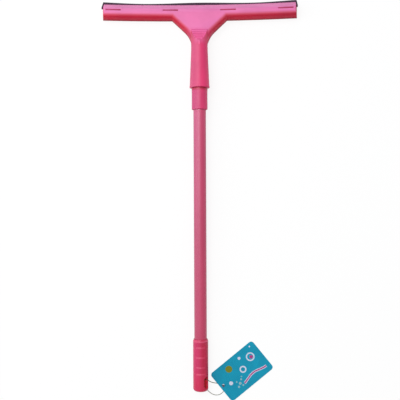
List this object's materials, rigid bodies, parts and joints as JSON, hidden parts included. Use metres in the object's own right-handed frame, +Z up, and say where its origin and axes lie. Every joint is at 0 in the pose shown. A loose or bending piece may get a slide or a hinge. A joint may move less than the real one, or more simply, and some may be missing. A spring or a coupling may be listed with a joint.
{
  "type": "hand squeegee",
  "caption": "Hand squeegee with a wide rubber blade under a leaning jaw, a fan-shaped head with a threaded socket, a sleeved tube pole, a grip with a hanging hole and a tag on a loop.",
  "frame": {"origin": "On the table, under the middle of the squeegee's box measured without the hang tag and its loop; the squeegee lies on its back as pictured.", "axes": "+Y from the grip to the blade, +Z up from the table, +X to the right of someone looking along +Y."},
  "size_m": [0.301, 0.6179, 0.0314],
  "materials": {
    "head_plastic": "satin moulded pink",
    "clamp_plastic": "moulded deep pink",
    "blade_rubber": "matt dark rubber",
    "ferrule_plastic": "satin moulded rose",
    "tube_steel": "plain drawn tube",
    "sleeve_plastic": "thin satin rose coating",
    "grip_plastic": "satin moulded red-pink",
    "loop_plastic": "translucent grey strand",
    "tag_card": "laminated blue card"
  },
  "bodies": {
    "head": {"head_shell": "head_plastic", "blade_clamp": "clamp_plastic", "blade": "blade_rubber"},
    "threaded_ferrule": {"ferrule": "ferrule_plastic"},
    "pole": {"pole_tube": "tube_steel", "pole_sleeve": "sleeve_plastic", "grip": "grip_plastic", "tag_loop": "loop_plastic", "loop_knot": "loop_plastic", "hang_tag": "tag_card"}
  },
  "joints": [
    {"name": "thread_travel", "type": "slide", "parent": "head", "child": "threaded_ferrule", "axis": [0, -1, -0.0094], "range_m": [0, 0.0251]},
    {"name": "thread_turn", "type": "hinge", "parent": "threaded_ferrule", "child": "pole", "pos_m": [0, 0.16388, 0.0159], "axis": [0, -1, -0.0094], "range_deg": [0, 1800]}
  ],
  "couplings": [
    {"joint": "thread_travel", "follows": "thread_turn", "m_per_rad": 0.00079577}
  ]
}
